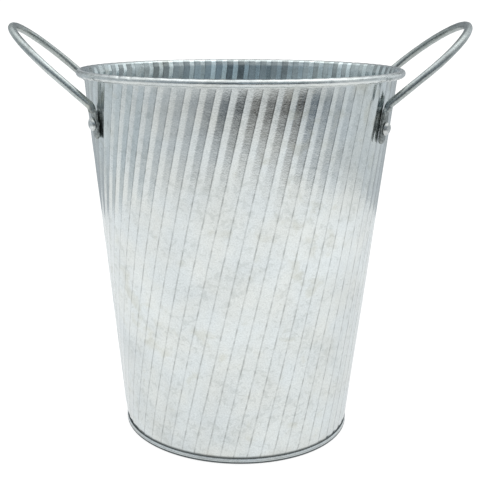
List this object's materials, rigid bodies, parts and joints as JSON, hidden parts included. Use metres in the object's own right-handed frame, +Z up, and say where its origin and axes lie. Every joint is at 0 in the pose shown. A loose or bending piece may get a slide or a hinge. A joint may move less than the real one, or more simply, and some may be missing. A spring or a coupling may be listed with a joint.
{
  "type": "florist bucket",
  "caption": "Tapered galvanised bucket with slanted ribs, a wired rim, a hemmed bottom and two riveted wire loop handles, for cut flowers.",
  "frame": {"origin": "centre of the bucket's footprint, on the floor", "axes": "+Z up along the bucket's axis, +X towards the right handle, +Y towards the back"},
  "size_m": [0.2381, 0.1716, 0.2212],
  "materials": {
    "wall_sheet": "matte galvanised sheet",
    "bottom_sheet": "matte galvanised sheet",
    "rim_wire": "galvanised wire",
    "handle_wire": "dull galvanised wire",
    "rivet": "satin zinc plated"
  },
  "bodies": {
    "root": {"body_wall": "wall_sheet", "bottom_disc": "bottom_sheet", "rim_wire": "rim_wire", "handle_left": "handle_wire", "handle_right": "handle_wire", "rivet_left_front": "rivet", "rivet_left_rear": "rivet", "rivet_right_front": "rivet", "rivet_right_rear": "rivet"}
  },
  "joints": []
}
